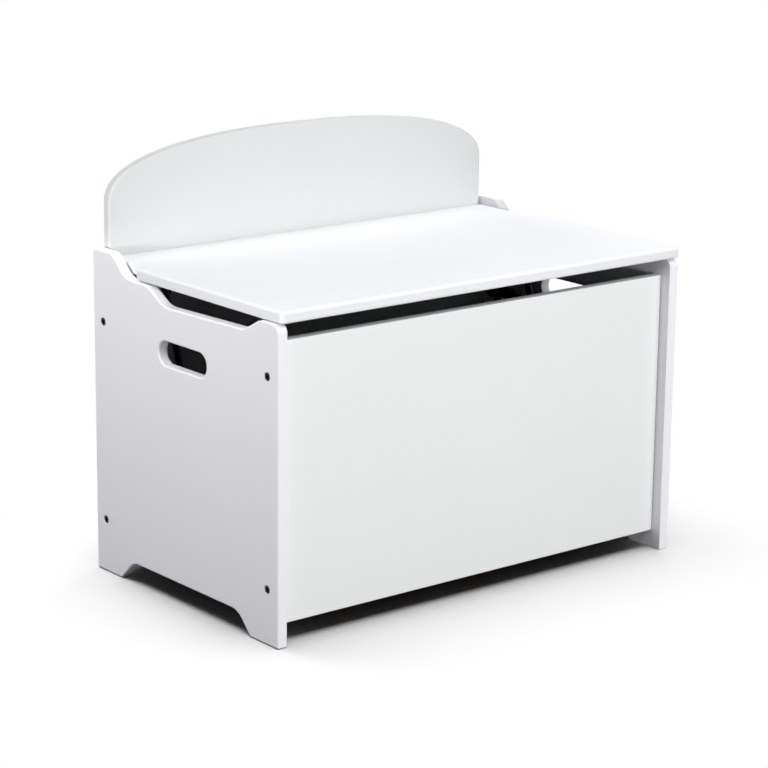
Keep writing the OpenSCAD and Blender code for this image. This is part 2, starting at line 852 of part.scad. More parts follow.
module stay_lever(side) {
    color(dark_steel) on_side(side) difference() {
        side_plate(lever_in, lever_t) translate([shaft_y, shaft_z]) rotate(lever_angle) difference() {
            bar_outline(lever_l, lever_w);
            square(boss_w + 2 * slip_fit, center = true);
        }
        rod(-inner_x + lever_in - cut, elbow_y, elbow_z, lever_t + 2 * cut, rivet_d + 2 * slip_fit);
    }
}

module lever_screw(side) {
    face = -inner_x + lever_in + lever_t;
    color(dark_steel) on_side(side) {
        rod(face, shaft_y, shaft_z, lever_screw_head_h, lever_screw_head_d);
        rod(face - lever_screw_l + hole_spare, shaft_y, shaft_z, lever_screw_l, lever_screw_d);
    }
}

// Rivet that holds the link on the lever's end
module stay_rivet(side) {
    length = lever_t + link_t + 2 * body_gap;
    color(dark_steel) on_side(side) {
        rod(-inner_x + lever_in - rivet_head_h, elbow_y, elbow_z, rivet_head_h, rivet_head_d);
        rod(-inner_x + lever_in, elbow_y, elbow_z, length, rivet_d);
        rod(-inner_x + lever_in + length, elbow_y, elbow_z, rivet_head_h, rivet_head_d);
    }
}

module stay_link(side) {
    color(dark_steel) on_side(side) difference() {
        side_plate(link_in, link_t) translate([elbow_y, elbow_z]) rotate(link_angle)
            bar_outline(link_l, link_w);
        rod(-inner_x + link_in - cut, elbow_y, elbow_z, link_t + 2 * cut, rivet_d + 2 * run_fit);
        rod(-inner_x + link_in - cut, stud_y, stud_z, link_t + 2 * cut, rivet_d + 2 * stud_clear);
    }
}

// Angle under the lid with the stud that the link's upper eye turns on
module stay_bracket(side) {
    stud_l = link_t + 2 * body_gap;
    color(dark_steel) on_side(side) difference() {
        union() {
            side_plate(tab_in, bracket_t) translate([stud_y, stud_z]) {
                circle(d = tab_w);
                translate([-tab_w / 2, 0]) square([tab_w, lid_z - stud_z]);
            }
            translate([-inner_x + tab_in, stud_y - bracket_l / 2, lid_z - bracket_t])
                cube([bracket_t + flange_w, bracket_l, bracket_t]);
            rod(-inner_x + tab_in - stud_l, stud_y, stud_z, stud_l, rivet_d);
            rod(-inner_x + tab_in - stud_l - rivet_head_h, stud_y, stud_z, rivet_head_h, rivet_head_d);
        }
        at_bracket_screws() screw_hole(stay_screw_l);
    }
}

// ---- Nodes ----------------------------------------------------------------------------

side_panel(-1);  // left_side_panel
side_panel(1);  // right_side_panel
front_panel();
back_panel();
backrest();
floor_panel();
front_cleat();
rear_cleat();
lid();
panel_bolts();
barrel_nuts();
dowels();
backrest_screws();
cleat_screws();
floor_screws();
pivot_pin(-1);  // left_pivot_pin
pivot_pin(1);  // right_pivot_pin
pivot_bush(-1);  // left_pivot_bush
pivot_bush(1);  // right_pivot_bush
lid_bumpers();
stay_base(-1);  // left_stay_base
stay_base(1);  // right_stay_base
stay_cap(-1);  // left_stay_cap
stay_cap(1);  // right_stay_cap
stay_rotor(-1);  // left_stay_rotor
stay_rotor(1);  // right_stay_rotor
stay_lever(-1);  // left_stay_lever
stay_lever(1);  // right_stay_lever
lever_screw(-1);  // left_lever_screw
lever_screw(1);  // right_lever_screw
stay_rivet(-1);  // left_stay_rivet
stay_rivet(1);  // right_stay_rivet
stay_link(-1);  // left_stay_link
stay_link(1);  // right_stay_link
stay_bracket(-1);  // left_stay_bracket
stay_bracket(1);  // right_stay_bracket
stay_screws();
bracket_screws();
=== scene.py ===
"""Visible boards, fittings and finishes of a bench-style wooden toy box, on its packed frame.

Everything is in metres. +Z is up and the front faces -Y. Every piece keeps its place in its
mesh, and rides on the body that it belongs to: the case, the lid, or a stay's lever or link.
"""

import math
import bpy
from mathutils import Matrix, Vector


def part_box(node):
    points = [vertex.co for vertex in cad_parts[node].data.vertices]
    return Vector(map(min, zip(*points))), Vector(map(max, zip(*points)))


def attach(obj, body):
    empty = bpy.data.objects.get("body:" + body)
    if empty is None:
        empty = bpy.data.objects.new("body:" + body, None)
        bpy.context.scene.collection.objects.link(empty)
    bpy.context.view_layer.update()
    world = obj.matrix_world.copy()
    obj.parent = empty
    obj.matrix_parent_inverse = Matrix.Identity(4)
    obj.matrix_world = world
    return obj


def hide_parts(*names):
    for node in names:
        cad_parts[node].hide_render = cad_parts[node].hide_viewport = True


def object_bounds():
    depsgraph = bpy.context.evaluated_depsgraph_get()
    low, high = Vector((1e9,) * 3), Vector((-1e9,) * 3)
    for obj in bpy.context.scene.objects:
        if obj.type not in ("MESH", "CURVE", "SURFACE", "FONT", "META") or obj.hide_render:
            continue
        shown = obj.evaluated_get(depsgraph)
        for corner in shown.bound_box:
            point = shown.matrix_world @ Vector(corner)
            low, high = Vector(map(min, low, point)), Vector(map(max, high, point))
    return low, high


bl_info = {
    "name": "Wooden Toy Box",
    "version": (1, 0, 0),
    "blender": (4, 5, 0),
    "location": "3D View > Sidebar > Toy Box",
    "description": "Builds the boards, fittings and finishes of a bench-style wooden toy box",
    "category": "Object",
}

import bmesh
import bpy
from bpy.props import FloatProperty, FloatVectorProperty, IntProperty, PointerProperty
from bpy.types import Operator, Panel, PropertyGroup
from mathutils import Matrix, Vector

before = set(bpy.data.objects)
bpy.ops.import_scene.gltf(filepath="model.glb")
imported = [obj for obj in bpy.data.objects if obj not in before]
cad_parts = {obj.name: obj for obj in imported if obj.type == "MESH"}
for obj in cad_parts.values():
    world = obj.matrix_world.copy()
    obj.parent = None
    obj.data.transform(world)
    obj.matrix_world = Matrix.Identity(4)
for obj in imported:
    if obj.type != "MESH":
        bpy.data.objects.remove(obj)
cad_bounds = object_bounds()

SIDES = ("left", "right")
X, Y, Z = range(3)
DOWN = Vector((0, 0, -1))
WHITE = (1, 1, 1, 1)
CLOSE = 1e-5  # Coordinates that differ by less than this are the same, in metres


# ---- Sizes and colours -------------------------------------------------------------------


def length(name, description, default, low, high):
    """A length that a user can set, in metres, with what the panel shows for it."""
    return FloatProperty(
        name=name, description=description, default=default, min=low, max=high, unit="LENGTH"
    )


def count(name, description, default, low, high):
    """A number of things that a user can set."""
    return IntProperty(name=name, description=description, default=default, min=low, max=high)


def colour(name, description, default):
    """A colour that a user can set."""
    return FloatVectorProperty(
        name=name, description=description, default=default, subtype="COLOR", min=0, max=1
    )


def angle(name, description, degrees):
    """An angle that a user can set, with its default in degrees."""
    return FloatProperty(
        name=name, description=description, default=math.radians(degrees), subtype="ANGLE"
    )


def lamp_power(name, what, default):
    """The power of a lamp, in watts, with what the lamp is."""
    return FloatProperty(
        name=name, description="Power of " + what, default=default, min=0, unit="POWER"
    )


class ToyBoxBoards(PropertyGroup):
    """Rounding of the painted boards"""

    panel_round: length(
        "Side panel rounding", "Radius along the outlines and hand slots of the side panels",
        0.003, 0.0005, 0.005,
    )
    backrest_round: length(
        "Backrest rounding", "Radius along the outline of the backrest", 0.0035, 0.0005, 0.006
    )
    inset_round: length(
        "Inset panel rounding", "Radius along the edges of the front, back and floor panels",
        0.0012, 0.0002, 0.003,
    )
    panel_joint: length(
        "Panel joint", "Width of the open joint at each end of the front and back panels",
        0.0012, 0, 0.0015,
    )
    cleat_round: length(
        "Cleat rounding", "Radius along the edges of the sawn cleats", 0.0008, 0.0002, 0.002
    )
    bore_round: length(
        "Bore rounding", "Radius at the mouths of the drilled holes", 0.00035, 0.0001, 0.0008
    )
    lid_top_round: length(
        "Lid upper rounding", "Radius along the upper edges of the lid", 0.004, 0.002, 0.007
    )
    lid_under_round: length(
        "Lid lower rounding", "Radius along the lower edges of the lid", 0.003, 0.001, 0.004
    )
    lid_corner: length(
        "Lid corner radius", "Radius of the lid's outer corners, seen from above",
        0.0075, 0.005, 0.02,
    )
    lid_notch: length(
        "Lid notch radius", "Radius at the inner corners of the lid's rear notches",
        0.004, 0.001, 0.008,
    )


class ToyBoxFittings(PropertyGroup):
    """Details of the screws, bolts and lid stays"""

    facets: count("Facets", "Straight pieces round a bolt or screw head", 40, 12, 96)
    rim: length(
        "Head rim", "Width of the rounded rim of a bolt or screw head", 0.0006, 0.0001, 0.001
    )
    socket: length(
        "Bolt socket", "Width across the flats of the hexagon sockets", 0.005, 0.003, 0.006
    )
    recess: length(
        "Cross recess", "Length of the cross recess in the wood screws", 0.0042, 0.002, 0.005
    )
    thread: length(
        "Thread pitch", "Distance between the threads of the wood screws", 0.0016, 0.001, 0.003
    )
    flutes: count("Housing flutes", "Finger flutes round each stay's friction housing", 24, 8, 36)
    steel_round: length(
        "Steel edge rounding", "Radius along the tumbled edges of the stays' steel parts",
        0.0004, 0.0001, 0.0008,
    )
    rivet_head: length(
        "Rivet head height", "Height of the domed heads of the stays' elbow rivets",
        0.0013, 0.0005, 0.0013,
    )
    bend_round: length(
        "Bracket bend radius", "Outer radius of the bend in each lid bracket",
        0.0016, 0.0005, 0.0019,
    )


class ToyBoxFinishes(PropertyGroup):
    """Colours of the finishes"""

    # Painted light and shade: these four lacquers stand for one white paint, tinted board by board to how
    # light falls on each, with a bluer tint on the side panels, darker tints on the front and back panels
    # and the backrest, and a lighter, bluer tint on the lid.
    side_paint: colour("Side paint", "Lacquer on the side panels", (0.875, 0.868, 0.91))
    front_paint: colour("Front paint", "Lacquer on the front and back panels", (0.82, 0.835, 0.835))
    backrest_paint: colour("Backrest paint", "Lacquer on the backrest", (0.83, 0.85, 0.84))
    lid_paint: colour("Lid paint", "Lacquer on the lid", (0.875, 0.885, 0.915))
    floor_paint: colour("Floor facing", "Melamine facing of the floor panel", (0.74, 0.74, 0.73))
    raw_wood: colour("Pale wood", "Early growth of the bare softwood", (0.68, 0.47, 0.27))
    dark_wood: colour("Dark wood", "Late growth of the bare softwood", (0.45, 0.25, 0.11))
    dark_steel: colour("Black steel", "Black-oxide finish of the bolts and stays", (0.022, 0.022, 0.025))
    zinc_steel: colour("Zinc plate", "Zinc-plated screws, barrel nuts and pivot pins", (0.62, 0.63, 0.65))
    nylon: colour("Nylon", "Natural nylon of the pivot bushes", (0.78, 0.76, 0.70))
    grey_plastic: colour("Grey plastic", "Moulded friction housings", (0.10, 0.105, 0.11))
    clear_rubber: colour("Clear rubber", "Bumpers under the lid", (0.82, 0.84, 0.82))
    sheen: FloatProperty(
        name="Paint roughness", description="Roughness of the satin lacquer: less is glossier",
        default=0.50, min=0.1, max=0.8, subtype="FACTOR",
    )


class ToyBoxStage(PropertyGroup):
    """Camera, lamps and floor"""

    eye: FloatVectorProperty(
        name="Camera place", description="Where the camera stands",
        default=(-2.2052, -2.7011, 1.1532), subtype="TRANSLATION", unit="LENGTH",
    )
    heading: angle("Heading", "Direction that the camera looks in, clockwise from +Y", 39.1007)
    dip: angle("Dip", "Angle by which the camera looks down", 14.5542)
    roll: angle("Roll", "Angle by which the camera leans", 0.663)
    lens: FloatProperty(
        name="Focal length", description="Focal length for a 36 mm sensor, in millimetres",
        default=124.27, min=20, max=300,
    )
    front_power: lamp_power("Front softbox", "the wide softbox high in front of the box", 39)
    low_power: lamp_power("Low softbox", "the wide softbox low in front of the box", 32)
    lid_power: lamp_power("Lid softbox", "the softbox above the lid, for the lid alone", 69)
    brow_power: lamp_power("Brow softbox", "the softbox level with the lid's front edge", 38)
    side_power: lamp_power("Side softbox", "the softbox high on the left of the box", 21.5)
    edge_power: lamp_power("Edge softbox", "the low softbox for the left ends of lid and backrest", 13)
    top_power: lamp_power("Top softbox", "the softbox above the box", 8)
    backrest_power: lamp_power("Backrest softbox", "the softbox above the lid for the backrest", 30)
    rear_power: lamp_power("Rear softbox", "the softbox behind the box on the right", 48)
    back_power: lamp_power("Back softbox", "the softbox straight behind the box", 38)
    floor_power: lamp_power("Floor softbox", "the wide softbox over the floor", 130)
    ground_power: lamp_power("Ground softbox", "the softbox for the floor on the left", 14)
    world_strength: FloatProperty(
        name="Room light", description="Strength of the even light from all round",
        default=0.03, min=0, max=1,
    )
    shade_reach: length(
        "Reach of the shadow", "Distance from the box at which the floor's shadow has faded out",
        0.28, 0.05, 2,
    )


# ---- Shader nodes ------------------------------------------------------------------------


def shader_node(tree, kind, inputs=None, **settings):
    """Adds a shader node with its settings, and gives its inputs values or links."""
    made = tree.nodes.new(kind)
    for name, value in settings.items():
        setattr(made, name, value)
    for key, value in (inputs or {}).items():
        if isinstance(value, bpy.types.NodeSocket):
            tree.links.new(value, made.inputs[key])
        else:
            made.inputs[key].default_value = value
    return made


def new_finish(name, **values):
    """A material with an empty node tree but for its shader, whose plain inputs are set here."""
    material = bpy.data.materials.new(name)
    material.use_nodes = True
    tree = material.node_tree
    shader = tree.nodes["Principled BSDF"]
    for key, value in values.items():
        shader.inputs[key.replace("_", " ")].default_value = value
    return material, tree, shader


def place_of(tree, stretch=(1, 1, 1)):
    """The surface's place on the piece, in metres, stretched for a grain that runs one way."""
    place = shader_node(tree, "ShaderNodeTexCoord").outputs["Object"]
    return shader_node(tree, "ShaderNodeMapping", {"Vector": place, "Scale": stretch}).outputs[0]


def noise(tree, place, scale, detail, roughness=0.5):
    """Smooth noise from 0 to 1 with so many cells to the metre."""
    inputs = {"Vector": place, "Scale": scale, "Detail": detail, "Roughness": roughness}
    return shader_node(tree, "ShaderNodeTexNoise", inputs).outputs["Fac"]


def spread(tree, value, low, high, start=0.3, end=0.7, **settings):
    """A value from start to end, mapped to low to high."""
    inputs = {"Value": value, "From Min": start, "From Max": end, "To Min": low, "To Max": high}
    return shader_node(tree, "ShaderNodeMapRange", inputs, **settings).outputs[0]


def maths(tree, operation, *values, kind="ShaderNodeMath", output=0):
    """What an operation of a mathematics node makes of some values."""
    inputs = dict(enumerate(values))
    return shader_node(tree, kind, inputs, operation=operation).outputs[output]


def sum_of(tree, *values):
    """The sum of some values."""
    total = values[0]
    for value in values[1:]:
        total = maths(tree, "ADD", total, value)
    return total


def product(tree, a, b):
    """The product of two values."""
    return maths(tree, "MULTIPLY", a, b)


def sight(tree):
    """1 where a thing is seen straight or in a reflection, and 0 where it only gives light."""
    path = shader_node(tree, "ShaderNodeLightPath").outputs
    straight = maths(tree, "LESS_THAN", path["Diffuse Depth"], 0.5)
    seen = path["Is Camera Ray"]
    for name in ("Is Glossy Ray", "Is Transmission Ray"):
        seen = maths(tree, "MAXIMUM", seen, product(tree, path[name], straight))
    return seen


def shade(tint, share):
    """A colour made lighter or darker by a share, with its alpha."""
    return (*[min(1.0, part * share) for part in tint], 1.0)


def mixed(tree, share, low, high):
    """The socket of a colour that runs from low to high as share runs from 0 to 1."""
    inputs = {0: share, 6: low, 7: high}
    return shader_node(tree, "ShaderNodeMix", inputs, data_type="RGBA").outputs[2]


def clouded(tree, shader, cloud, tint, low, high=1.0):
    """Tints the shader, lighter or darker by a share from low to high as a noise varies."""
    share = spread(tree, cloud, 0, 1)
    tone = mixed(tree, share, shade(tint, low), shade(tint, high))
    tree.links.new(tone, shader.inputs["Base Color"])


def roughened(tree, shader, value):
    """Gives the shader a roughness that varies over the surface."""
    tree.links.new(value, shader.inputs["Roughness"])


def bumped(tree, shader, height, depth):
    """Gives the shader a relief so many metres deep."""
    inputs = {"Height": height, "Distance": depth, "Strength": 1.0}
    relief = shader_node(tree, "ShaderNodeBump", inputs)
    tree.links.new(relief.outputs[0], shader.inputs["Normal"])


def lacquer(name, tint):
    """Satin lacquer on board: a faint mottle, orange peel, and a coarser nap on the rims."""
    made, tree, shader = new_finish(name)
    place = place_of(tree)
    rim = shader_node(tree, "ShaderNodeAttribute", attribute_name="rim").outputs["Fac"]
    clouded(tree, shader, noise(tree, place, 7, 3), tint, 0.985)
    sheen = bpy.context.scene.toy_box_finishes.sheen
    smudges = spread(tree, noise(tree, place, 24, 4), sheen - 0.03, sheen + 0.04)
    roughened(tree, shader, sum_of(tree, smudges, product(tree, rim, 0.08)))
    peel = product(tree, noise(tree, place, 420, 2), 0.6)
    ripple = product(tree, noise(tree, place, 45, 2), 1.4)
    nap = product(tree, product(tree, noise(tree, place, 1500, 3), rim), 0.5)
    bumped(tree, shader, sum_of(tree, peel, ripple, nap), 0.00006)
    return made


def melamine(name, tint):
    """Matt melamine facing with a fine pebbled grain."""
    made, tree, shader = new_finish(name)
    place = place_of(tree)
    cloud = noise(tree, place, 12, 4)
    clouded(tree, shader, cloud, tint, 0.96)
    roughened(tree, shader, spread(tree, cloud, 0.46, 0.56))
    bumped(tree, shader, noise(tree, place, 900, 1), 0.00012)
    return made


def softwood(name, pale):
    """Bare sawn softwood with its grain along X: growth rings, fibres and pores."""
    made, tree, shader = new_finish(name)
    place = place_of(tree, (2.2, 34, 34))
    sway = noise(tree, place, 1.3, 2)
    bands = {"Vector": place, "Scale": 2.4, "Distortion": 7.0, "Detail": 2.0, "Detail Scale": 0.8}
    rings = shader_node(
        tree, "ShaderNodeTexWave", bands, wave_type="BANDS", bands_direction="DIAGONAL"
    ).outputs["Fac"]
    fibres = noise(tree, place_of(tree, (12, 900, 900)), 1, 3, 0.6)
    shares = ((rings, 0.45), (sway, 0.35), (fibres, 0.25))
    growth = spread(tree, sum_of(tree, *[product(tree, *s) for s in shares]), 0, 1, 0.25, 0.85)
    dark = bpy.context.scene.toy_box_finishes.dark_wood
    tree.links.new(mixed(tree, growth, (*pale, 1), (*dark, 1)), shader.inputs["Base Color"])
    roughened(tree, shader, spread(tree, fibres, 0.62, 0.80))
    bumped(tree, shader, fibres, 0.00025)
    return made


def steel(name, tint, roughness, grain=(1, 1, 1)):
    """Plated or blackened steel with a fine drawn grain and duller patches."""
    made, tree, shader = new_finish(name, Metallic=1.0)
    place = place_of(tree)
    patches = noise(tree, place, 160, 4)
    clouded(tree, shader, patches, tint, 0.9)
    drawn = noise(tree, place_of(tree, grain), 1400, 2)
    dull = spread(tree, patches, roughness - 0.05, roughness + 0.06)
    roughened(tree, shader, sum_of(tree, dull, spread(tree, drawn, -0.03, 0.03)))
    bumped(tree, shader, drawn, 0.00002)
    return made


def moulding(name, tint, roughness, grain, depth):
    """Moulded plastic with a spark-eroded grain of so many cells to the metre."""
    made, tree, shader = new_finish(name)
    place = place_of(tree)
    clouded(tree, shader, noise(tree, place, 60, 3), tint, 0.93, 1.04)
    sparks = noise(tree, place, grain, 2)
    roughened(tree, shader, spread(tree, sparks, roughness - 0.05, roughness + 0.07))
    bumped(tree, shader, sparks, depth)
    return made


def soft_clear(name, tint):
    """Soft clear rubber, slightly clouded."""
    made, tree, shader = new_finish(name, Transmission_Weight=0.75, IOR=1.46)
    cloud = noise(tree, place_of(tree), 500, 3)
    clouded(tree, shader, cloud, tint, 0.94)
    roughened(tree, shader, spread(tree, cloud, 0.18, 0.34))
    bumped(tree, shader, cloud, 0.00005)
    return made


FINISHES = {
    # The four lacquer slots are lit and shaded copies of one white paint: their tints are painted light
    # and shade.
    "side_paint": (lacquer,),
    "front_paint": (lacquer,),
    "backrest_paint": (lacquer,),
    "lid_paint": (lacquer,),
    "floor_paint": (melamine,),
    "raw_wood": (softwood,),
    "dark_steel": (steel, 0.36),
    "zinc_steel": (steel, 0.30, (1, 1, 0.08)),
    "nylon": (moulding, 0.45, 1600, 0.00004),
    "grey_plastic": (moulding, 0.52, 2300, 0.00009),
    "clear_rubber": (soft_clear,),
}


def finish(slot):
    """The material that stands for one of the record's slots, made when it is first asked for."""
    name = f"{slot}_finish"
    made = bpy.data.materials.get(name)
    if not made:
        maker, *details = FINISHES[slot]
        made = maker(name, getattr(bpy.context.scene.toy_box_finishes, slot), *details)
    return made


# ---- Mesh tools --------------------------------------------------------------------------


def cad_copy(node):
    """A copy of a CAD node's mesh with its triangles merged and its flat faces joined."""
    bm = bmesh.new()
    bm.from_mesh(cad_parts[node].data)
    bmesh.ops.remove_doubles(bm, verts=bm.verts, dist=CLOSE / 10)
    flat = math.radians(0.3)
    bmesh.ops.dissolve_limit(bm, angle_limit=flat, verts=bm.verts, edges=bm.edges)
    return bm


def islands(elements, neighbours):
    """Groups of vertices or edges that hang together, in the same order on every run."""
    left = dict.fromkeys(elements)
    while left:
        group, queue = [], [left.popitem()[0]]
        while queue:
            element = queue.pop()
            group.append(element)
            for other in neighbours(element):
                if other in left:
                    del left[other]
                    queue.append(other)
        yield group


def corners(points):
    """Lowest and highest corner of some points."""
    parts = list(zip(*points))
    return Vector(map(min, parts)), Vector(map(max, parts))


def solid_boxes(node):
    """Lowest and highest corner of each separate solid of a CAD node, lowest places first."""
    bm = cad_copy(node)
    groups = islands(bm.verts, lambda v: [e.other_vert(v) for e in v.link_edges])
    boxes = [corners(v.co for v in group) for group in groups]
    bm.free()
    return sorted(boxes, key=lambda box: tuple(box[0]))


def sharp_edges(bm, angle=50):
    """Edges where the surface turns outwards or inwards by more than an angle in degrees."""
    limit = math.radians(angle)
    return [e for e in bm.edges if len(e.link_faces) == 2 and e.calc_face_angle(0) > limit]


def edges_by_reach(edges, reach):
    """Splits edges into those of loops that reach at least so far, and the rest."""
    wide, narrow = [], []
    chosen = set(edges)
    groups = islands(
        edges, lambda edge: [e for v in edge.verts for e in v.link_edges if e in chosen]
    )
    for group in groups:
        low, high = corners(v.co for edge in group for v in edge.verts)
        (wide if max(high - low) >= reach else narrow).extend(group)
    return wide, narrow


def rounded(bm, edges, radius, segments):
    """Rounds some edges to a radius."""
    bmesh.ops.bevel(
        bm, geom=edges, offset=radius, offset_type="OFFSET", segments=segments, profile=0.5,
        affect="EDGES", clamp_overlap=True, material=-1,
    )


def mark_rims(bm, axis):
    """Marks the faces that aren't on a board's two broad faces, which lie across an axis."""
    layer, flat = bm.faces.layers.float.new("rim"), 0.999
    for face in bm.faces:
        face[layer] = 0.0 if abs(face.normal[axis]) > flat else 1.0


def new_object(name, data):
    """An object in the scene that holds a mesh, lamp or camera."""
    made = bpy.data.objects.new(name, data)
    bpy.context.scene.collection.objects.link(made)
    return made


def new_mesh(name, bm, material):
    """A mesh of one material, which takes over a bmesh."""
    mesh = bpy.data.meshes.new(name)
    bm.to_mesh(mesh)
    bm.free()
    mesh.materials.append(material)
    return mesh


def add_piece(bm, name, body, slot, replaced, sharp=40):
    """Makes a mesh object from a bmesh, finishes it, and ties it to its body."""
    mesh = new_mesh(name, bm, finish(slot))
    mesh.shade_smooth()
    mesh.set_sharp_from_angle(angle=math.radians(sharp))
    made = new_object(name, mesh)
    made.modifiers.new("Even shading", "WEIGHTED_NORMAL").keep_sharp = True
    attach(made, body)
    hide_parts(replaced)


def dress(node, slot):
    """Gives a CAD node that stays as it is its finish."""
    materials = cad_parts[node].data.materials
    materials.clear()
    materials.append(finish(slot))


def edge_loop(bm, points):
    """Closed loop of edges through some points."""
    verts = [bm.verts.new(point) for point in points]
    return [bm.edges.new((a, b)) for a, b in zip(verts, verts[1:] + verts[:1])]


def ring_points(radius, count, z=0.0):
    """Points evenly round a circle about Z."""
    steps = [2 * math.pi * i / count for i in range(count)]
    return [(radius * math.cos(a), radius * math.sin(a), z) for a in steps]


def cross_points(length, arm=0.26):
    """Corners of a cross about Z, so long from tip to tip and with arms of a share as wide."""
    far, near = length / 2, length * arm / 2
    quarter = [Vector((near, -far)), Vector((near, -near))]
    turned = [Matrix.Rotation(math.pi / 2 * i, 2) @ p for i in range(4) for p in quarter]
    return [(p.x, p.y, 0) for p in turned]


def carried_on(bm, edges):
    """Extrudes a loop of edges, and gives the new vertices and edges."""
    grown = bmesh.ops.extrude_edge_only(bm, edges=edges)["geom"]
    verts = [g for g in grown if isinstance(g, bmesh.types.BMVert)]
    return verts, [g for g in grown if isinstance(g, bmesh.types.BMEdge)]


def turned_down(bm, edges, rings):
    """Carries a round loop of edges on through rings of (radius, z) about Z, and closes it."""
    radius = math.hypot(*edges[0].verts[0].co.xy)
    z = edges[0].verts[0].co.z
    for new_radius, new_z in rings:
        verts, edges = carried_on(bm, edges)
        share = new_radius / radius
        bmesh.ops.scale(bm, vec=(share, share, 1), verts=verts)
        bmesh.ops.translate(bm, vec=(0, 0, new_z - z), verts=verts)
        radius, z = new_radius, new_z
    bmesh.ops.contextual_create(bm, geom=edges)
    bmesh.ops.recalc_face_normals(bm, faces=bm.faces)


def driven_head(recess, rings, facets, depth, taper):
    """A turned fastener about Z with a recess for its driver in the face at Z 0.

    recess holds the recess's corners, and rings the (radius, z) of the turned surface from
    the face's edge down to the tip. The recess's floor is at a depth, and smaller by a taper.
    """
    bm = bmesh.new()
    mouth = edge_loop(bm, recess)
    rim = edge_loop(bm, ring_points(rings[0][0], facets, rings[0][1]))
    bmesh.ops.triangle_fill(bm, use_beauty=True, use_dissolve=False, edges=mouth + rim)
    verts, edges = carried_on(bm, mouth)
    bmesh.ops.translate(bm, vec=(0, 0, -depth), verts=verts)
    bmesh.ops.scale(bm, vec=(taper, taper, 1), verts=verts)
    bmesh.ops.contextual_create(bm, geom=edges)
    turned_down(bm, rim, rings[1:])
    return bm


def turned_solid(rings, facets):
    """A closed turned solid about Z from its rings of (radius, z), from one end to the other."""
    bm = bmesh.new()
    face = edge_loop(bm, ring_points(rings[0][0], facets, rings[0][1]))
    bmesh.ops.contextual_create(bm, geom=face)
    turned_down(bm, face, rings[1:])
    return bm


def dome_rings(radius, height, power, steps=6):
    """Rings of (radius, z) of a dome, from near its crown at Z 0 down to its rim.

    A power below 1 makes it flatter on top and fuller at the rim.
    """
    turns = [math.pi / 2 * i / steps for i in range(1, steps + 1)]
    return [(radius * math.sin(a) ** power, -height * (1 - math.cos(a))) for a in turns]


def screw_rings(length, head, rim, pitch):
    """Rings of a countersunk wood screw: its rim, cone, shank, threads and tip."""
    shank, shortest_neck = 0.0035, 0.004
    cone = (head - shank) / 2
    rings = [(head / 2 - rim, 0), (head / 2, -rim / 2), (shank / 2, -rim / 2 - cone)]
    z, root = -max(shortest_neck, length * 0.3), shank * 0.36
    rings.append((shank / 2, z))
    while z - pitch > -length + shank:
        rings += [(root, z - pitch * 0.25), (root, z - pitch * 0.7), (shank / 2, z - pitch)]
        z -= pitch
    rings += [(root, -length + shank * 0.9), (shank * 0.03, -length)]
    return rings


def placed(pattern, places):
    """One bmesh with a copy of a pattern at each matrix."""
    bm = bmesh.new()
    mesh = bpy.data.meshes.new("pattern")
    pattern.to_mesh(mesh)
    pattern.free()
    for place in places:
        before = len(bm.verts)
        bm.from_mesh(mesh)
        bm.verts.ensure_lookup_table()
        bmesh.ops.transform(bm, matrix=place, verts=bm.verts[before:])
    bpy.data.meshes.remove(mesh)
    return bm


def pointing(head, towards, turn):
    """Place of a fastener whose head's face is at a point and which points along a direction."""
    aim = DOWN.rotation_difference(Vector(towards)).to_matrix().to_4x4()
    return Matrix.Translation(head) @ aim @ Matrix.Rotation(turn, 4, "Z")


def head_of(box, towards):
    """Middle of the face from which a fastener in a box points along a direction."""
    low, high = box
    middle = (low + high) / 2
    reach = (high - low) / 2
    return middle - Vector(part * reach[i] for i, part in enumerate(towards))


def fasteners(node, towards, make, name, body, slot):
    """Replaces a CAD node of like fasteners by detailed ones in the same places.

    towards gives the direction of each from its box, and make builds one of a length and width.
    """
    boxes = solid_boxes(node)
    aims = [Vector(towards(box)) for box in boxes]
    turn = 0.7  # Each head is turned so much further than the last, in radians
    places = [
        pointing(head_of(box, aim), aim, turn * i) for i, (box, aim) in enumerate(zip(boxes, aims))
    ]
    size = boxes[0][1] - boxes[0][0]
    spans = [abs(part) for part in aims[0]]
    along = spans.index(max(spans))
    solid = make(size[along], size[(along + 1) % 3])
    add_piece(placed(solid, places), name, body, slot, node, sharp=32)


def mirror(bm, scale):
    """Mirrors a bmesh by a scale that is -1 along one axis."""
    bmesh.ops.scale(bm, vec=scale, verts=bm.verts)
    bmesh.ops.reverse_faces(bm, faces=bm.faces)


def outwards_x(box):
    """Direction along X, out of the box, for a fastener in the left or right side."""
    return (math.copysign(1, box[0].x), 0, 0)


def outwards_y(box):
    """Direction along Y, out of the box, for a fastener in the front or the back."""
    return (0, math.copysign(1, box[0].y), 0)


# ---- Boards ------------------------------------------------------------------------------

WIDEST_BORE = 0.03  # A loop of edges that reaches so far is part of a board's outline


class Step:
    """What the operators share: each is undone as one step."""

    bl_options = {"REGISTER", "UNDO"}


class BoardStep(Step):
    """What the operators that round off a CAD board share."""

    def round_board(self, node, name, slot, axis, radius, segments, joint=0):
        """Replaces a board of the case by one with a rounded outline and eased bores.

        joint is the width of an open joint that is left at each end of the board.
        """
        sizes = bpy.context.scene.toy_box_boards
        bm = cad_copy(node)
        low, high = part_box(node)
        for vert in bm.verts:
            if abs(vert.co.x) > high.x - CLOSE:
                vert.co.x -= math.copysign(joint, vert.co.x)
        outline, bores = edges_by_reach(sharp_edges(bm), WIDEST_BORE)
        rounded(bm, outline, radius, segments)

        def on_face(vert):
            place = vert.co[axis]
            return min(abs(place - low[axis]), abs(place - high[axis])) < CLOSE

        mouths = [e for e in bores if e.is_valid and all(on_face(v) for v in e.verts)]
        rounded(bm, mouths, sizes.bore_round, 2)
        mark_rims(bm, axis)
        add_piece(bm, name, "case", slot, node)


